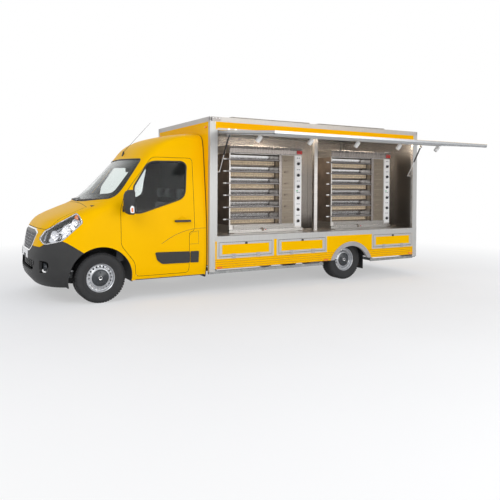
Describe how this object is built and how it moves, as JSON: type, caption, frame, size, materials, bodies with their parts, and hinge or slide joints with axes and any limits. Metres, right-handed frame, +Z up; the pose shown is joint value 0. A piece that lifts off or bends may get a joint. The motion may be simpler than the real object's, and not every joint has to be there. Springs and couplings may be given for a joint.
{
  "type": "food truck",
  "caption": "Yellow catering van: a rounded high-roof cab and a box body with an open serving flap on gas struts, lockers below and rotisserie ovens inside.",
  "frame": {"origin": "on the ground under the middle of the overall box, with the serving flap open", "axes": "+X forwards, +Y to the vehicle's left (the serving side), +Z up"},
  "size_m": [6.906, 4.0232, 2.75],
  "materials": {
    "galvanised": "satin",
    "dark_metal": "satin",
    "cast": "rough",
    "dark_plastic": "matt",
    "stainless": "brushed",
    "yellow_paint": "gloss",
    "glass": "clear",
    "lamp_lens": "clear",
    "seat_cloth": "woven",
    "floor": "textured",
    "anodised": "anodised",
    "grey_plastic": "satin",
    "red_lens": "gloss",
    "burner_ceramic": "matt",
    "lamp_body": "satin",
    "black_enamel": "gloss",
    "chrome_rod": "polished",
    "tyre": "matt",
    "wheel_silver": "satin"
  },
  "bodies": {
    "vehicle": {"chassis_frame": "galvanised", "rear_axle": "dark_metal", "engine_block": "cast", "fuel_tank": "dark_plastic", "exhaust": "stainless", "cab_shell": "yellow_paint", "windscreen": "glass", "front_wings": "yellow_paint", "front_bumper": "dark_plastic", "grille": "dark_plastic", "headlights": "lamp_lens", "dashboard": "dark_plastic", "steering_wheel": "dark_plastic", "seats": "seat_cloth", "box_floor": "floor", "box_front_wall": "yellow_paint", "box_right_wall": "yellow_paint", "box_left_wall": "yellow_paint", "box_rear_wall": "yellow_paint", "box_roof": "yellow_paint", "box_edge_frame": "anodised", "side_skirts": "yellow_paint", "wheel_arches": "grey_plastic", "counter": "stainless", "locker_boxes": "anodised", "roof_vents": "anodised", "rear_bumper": "anodised", "rear_lamps": "red_lens", "rotisserie_cabinets": "stainless", "rotisserie_burners": "burner_ceramic", "rotisserie_spits": "stainless"},
    "hood": {"hood": "yellow_paint"},
    "left_door": {"left_door": "yellow_paint", "left_door_glass": "glass", "left_mirror": "dark_plastic"},
    "right_door": {"right_door": "yellow_paint", "right_door_glass": "glass", "right_mirror": "dark_plastic"},
    "rear_door": {"rear_door": "yellow_paint"},
    "serving_flap": {"serving_flap": "yellow_paint", "flap_spotlights": "lamp_body"},
    "front_strut_cylinder": {"front_strut_cylinder": "black_enamel"},
    "front_strut_rod": {"front_strut_rod": "chrome_rod"},
    "rear_strut_cylinder": {"rear_strut_cylinder": "black_enamel"},
    "rear_strut_rod": {"rear_strut_rod": "chrome_rod"},
    "locker_door_1": {"locker_door_1": "yellow_paint"},
    "locker_door_2": {"locker_door_2": "yellow_paint"},
    "locker_door_3": {"locker_door_3": "yellow_paint"},
    "left_knuckle": {"left_knuckle": "dark_metal"},
    "right_knuckle": {"right_knuckle": "dark_metal"},
    "front_left_wheel": {"front_left_tyre": "tyre", "front_left_rim": "wheel_silver"},
    "front_right_wheel": {"front_right_tyre": "tyre", "front_right_rim": "wheel_silver"},
    "rear_left_wheel": {"rear_left_tyre": "tyre", "rear_left_rim": "wheel_silver"},
    "rear_right_wheel": {"rear_right_tyre": "tyre", "rear_right_rim": "wheel_silver"}
  },
  "joints": [
    {"name": "left_steer", "type": "hinge", "parent": "vehicle", "child": "left_knuckle", "pos_m": [2.593, 0.01344, 0.3495], "axis": [0, 0, 1], "range_deg": [-35, 35]},
    {"name": "right_steer", "type": "hinge", "parent": "vehicle", "child": "right_knuckle", "pos_m": [2.593, -1.45657, 0.3495], "axis": [0, 0, 1], "range_deg": [-35, 35]},
    {"name": "front_left_wheel_spin", "type": "hinge", "parent": "left_knuckle", "child": "front_left_wheel", "pos_m": [2.593, 0.15343, 0.3495], "axis": [0, 1, 0], "continuous": true},
    {"name": "front_right_wheel_spin", "type": "hinge", "parent": "right_knuckle", "child": "front_right_wheel", "pos_m": [2.593, -1.59657, 0.3495], "axis": [0, 1, 0], "continuous": true},
    {"name": "rear_left_wheel_spin", "type": "hinge", "parent": "vehicle", "child": "rear_left_wheel", "pos_m": [-1.739, 0.15343, 0.3495], "axis": [0, 1, 0], "continuous": true},
    {"name": "rear_right_wheel_spin", "type": "hinge", "parent": "vehicle", "child": "rear_right_wheel", "pos_m": [-1.739, -1.59657, 0.3495], "axis": [0, 1, 0], "continuous": true},
    {"name": "hood_hinge", "type": "hinge", "parent": "vehicle", "child": "hood", "pos_m": [2.743, -0.72157, 1.386], "axis": [0, -1, 0], "range_deg": [0, 55]},
    {"name": "left_door_hinge", "type": "hinge", "parent": "vehicle", "child": "left_door", "pos_m": [2.322, 0.32044, 1], "axis": [0, 0, -1], "range_deg": [0, 65]},
    {"name": "right_door_hinge", "type": "hinge", "parent": "vehicle", "child": "right_door", "pos_m": [2.322, -1.76357, 1], "axis": [0, 0, 1], "range_deg": [0, 65]},
    {"name": "rear_door_hinge", "type": "hinge", "parent": "vehicle", "child": "rear_door", "pos_m": [-3.391, -1.11857, 1.45], "axis": [0, 0, 1], "range_deg": [0, 110]},
    {"name": "serving_flap_hinge", "type": "hinge", "parent": "vehicle", "child": "serving_flap", "pos_m": [-1.2075, 0.39643, 2.502], "axis": [1, 0, 0], "range_deg": [-85, 0]},
    {"name": "front_strut_pivot", "type": "hinge", "parent": "serving_flap", "child": "front_strut_cylinder", "pos_m": [0.793, 0.63755, 2.38956], "axis": [1, 0, 0], "range_deg": [-1, 119.74]},
    {"name": "front_strut_slide", "type": "slide", "parent": "front_strut_cylinder", "child": "front_strut_rod", "axis": [0, 0.5055, 0.8628], "range_m": [-0.001, 0.2228]},
    {"name": "rear_strut_pivot", "type": "hinge", "parent": "serving_flap", "child": "rear_strut_cylinder", "pos_m": [-3.208, 0.63755, 2.38956], "axis": [1, 0, 0], "range_deg": [-1, 119.74]},
    {"name": "rear_strut_slide", "type": "slide", "parent": "rear_strut_cylinder", "child": "rear_strut_rod", "axis": [0, 0.5055, 0.8628], "range_m": [-0.001, 0.2228]},
    {"name": "locker_door_1_hinge", "type": "hinge", "parent": "vehicle", "child": "locker_door_1", "pos_m": [0.3465, 0.39543, 0.556], "axis": [-1, 0, 0], "range_deg": [0, 100]},
    {"name": "locker_door_2_hinge", "type": "hinge", "parent": "vehicle", "child": "locker_door_2", "pos_m": [-0.733, 0.39543, 0.556], "axis": [-1, 0, 0], "range_deg": [0, 100]},
    {"name": "locker_door_3_hinge", "type": "hinge", "parent": "vehicle", "child": "locker_door_3", "pos_m": [-2.774, 0.39543, 0.556], "axis": [-1, 0, 0], "range_deg": [0, 100]}
  ],
  "couplings": [
    {"joint": "right_steer", "follows": "left_steer", "ratio": 1},
    {"joint": "front_strut_pivot", "follows": "serving_flap_hinge", "ratio": -1.397},
    {"joint": "front_strut_slide", "follows": "serving_flap_hinge", "m_per_rad": -0.14882},
    {"joint": "rear_strut_pivot", "follows": "serving_flap_hinge", "ratio": -1.397},
    {"joint": "rear_strut_slide", "follows": "serving_flap_hinge", "m_per_rad": -0.14882}
  ]
}
